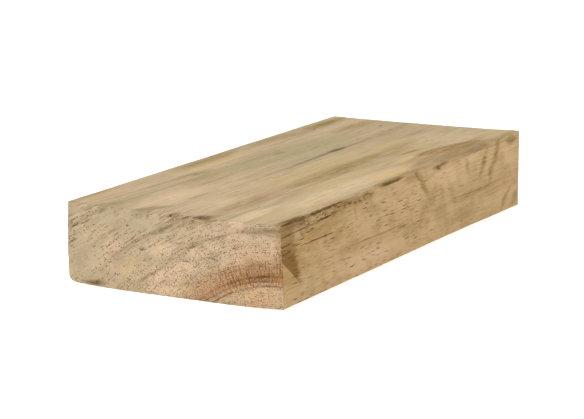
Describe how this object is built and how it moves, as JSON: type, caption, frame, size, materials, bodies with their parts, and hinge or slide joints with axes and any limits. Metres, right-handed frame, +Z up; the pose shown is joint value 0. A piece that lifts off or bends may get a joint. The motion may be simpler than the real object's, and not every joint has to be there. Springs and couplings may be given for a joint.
{
  "type": "timber plank",
  "caption": "Short rough-sawn timber plank with a slightly cupped section, one end cut out of square and a torn upper arris, for use as building stock.",
  "frame": {"origin": "centre of the plank's box, on the floor that its underside rests on", "axes": "+X along the grain, away from the end that is cut out of square; +Y to the left of that end; +Z up, through the thickness"},
  "size_m": [0.342, 0.145, 0.0515],
  "materials": {
    "sawn_wood": "rough sawn, unfinished"
  },
  "bodies": {
    "root": {"plank": "sawn_wood"}
  },
  "joints": []
}
